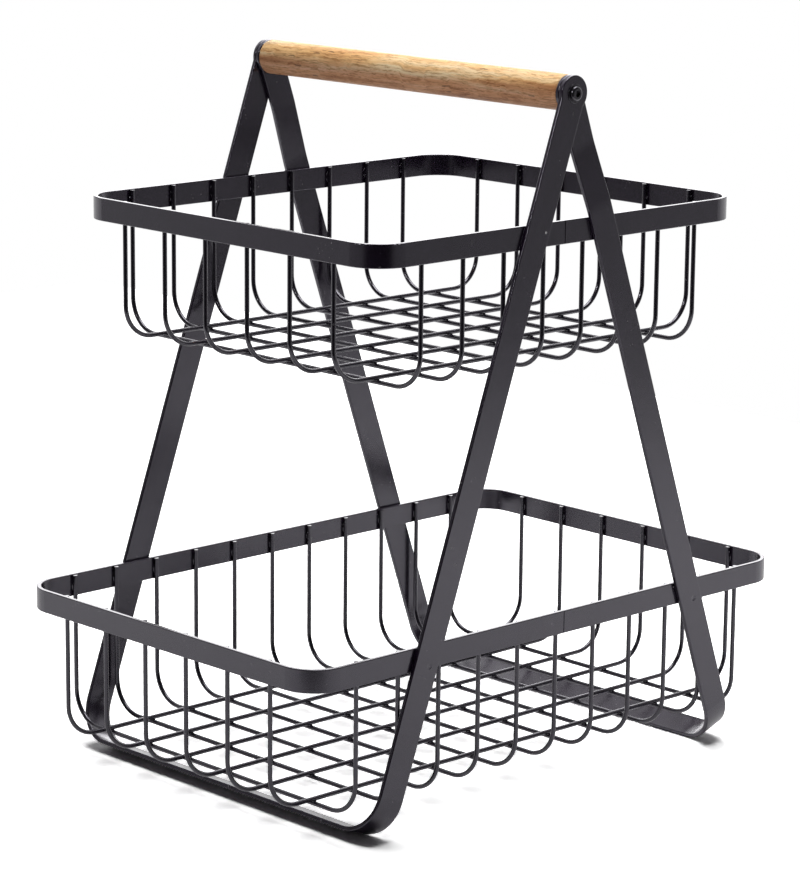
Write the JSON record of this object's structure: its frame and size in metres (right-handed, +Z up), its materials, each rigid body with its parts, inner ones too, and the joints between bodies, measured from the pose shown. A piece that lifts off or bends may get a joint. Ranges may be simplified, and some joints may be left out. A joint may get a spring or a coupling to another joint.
{
  "type": "tiered wire basket",
  "caption": "Two-tier storage basket of black wire with flat-band rims, on bent flat-steel legs that cross at the top and hold a round wooden carrying handle.",
  "frame": {"origin": "on the floor, under the middle of the handle, at the bottom centre of the object's box", "axes": "+Z up, +X along the long sides of the baskets from the outer legs' feet to the inner legs' feet, +Y along the handle from front to rear"},
  "size_m": [0.432, 0.2964, 0.466],
  "materials": {
    "coated_steel": "satin",
    "coated_wire": "satin",
    "black_fastener": "satin",
    "handle_wood": "satin",
    "insert_brass": "satin"
  },
  "bodies": {
    "root": {"outer_leg_frame": "coated_steel", "inner_leg_frame": "coated_steel", "lower_rim": "coated_steel", "upper_rim": "coated_steel", "handle_dowel": "handle_wood", "front_threaded_insert": "insert_brass", "front_washer": "black_fastener", "front_handle_screw": "black_fastener", "rear_threaded_insert": "insert_brass", "rear_washer": "black_fastener", "rear_handle_screw": "black_fastener", "lower_cross_wire_01": "coated_wire", "lower_cross_wire_02": "coated_wire", "lower_cross_wire_03": "coated_wire", "lower_cross_wire_04": "coated_wire", "lower_cross_wire_05": "coated_wire", "lower_cross_wire_06": "coated_wire", "lower_cross_wire_07": "coated_wire", "lower_cross_wire_08": "coated_wire", "lower_cross_wire_09": "coated_wire", "lower_cross_wire_10": "coated_wire", "lower_cross_wire_11": "coated_wire", "lower_long_wire_1": "coated_wire", "lower_long_wire_2": "coated_wire", "lower_long_wire_3": "coated_wire", "lower_long_wire_4": "coated_wire", "lower_long_wire_5": "coated_wire", "lower_long_wire_6": "coated_wire", "upper_cross_wire_1": "coated_wire", "upper_cross_wire_2": "coated_wire", "upper_cross_wire_3": "coated_wire", "upper_cross_wire_4": "coated_wire", "upper_cross_wire_5": "coated_wire", "upper_cross_wire_6": "coated_wire", "upper_cross_wire_7": "coated_wire", "upper_cross_wire_8": "coated_wire", "upper_long_wire_1": "coated_wire", "upper_long_wire_2": "coated_wire", "upper_long_wire_3": "coated_wire", "upper_long_wire_4": "coated_wire", "upper_long_wire_5": "coated_wire", "upper_long_wire_6": "coated_wire"}
  },
  "joints": []
}
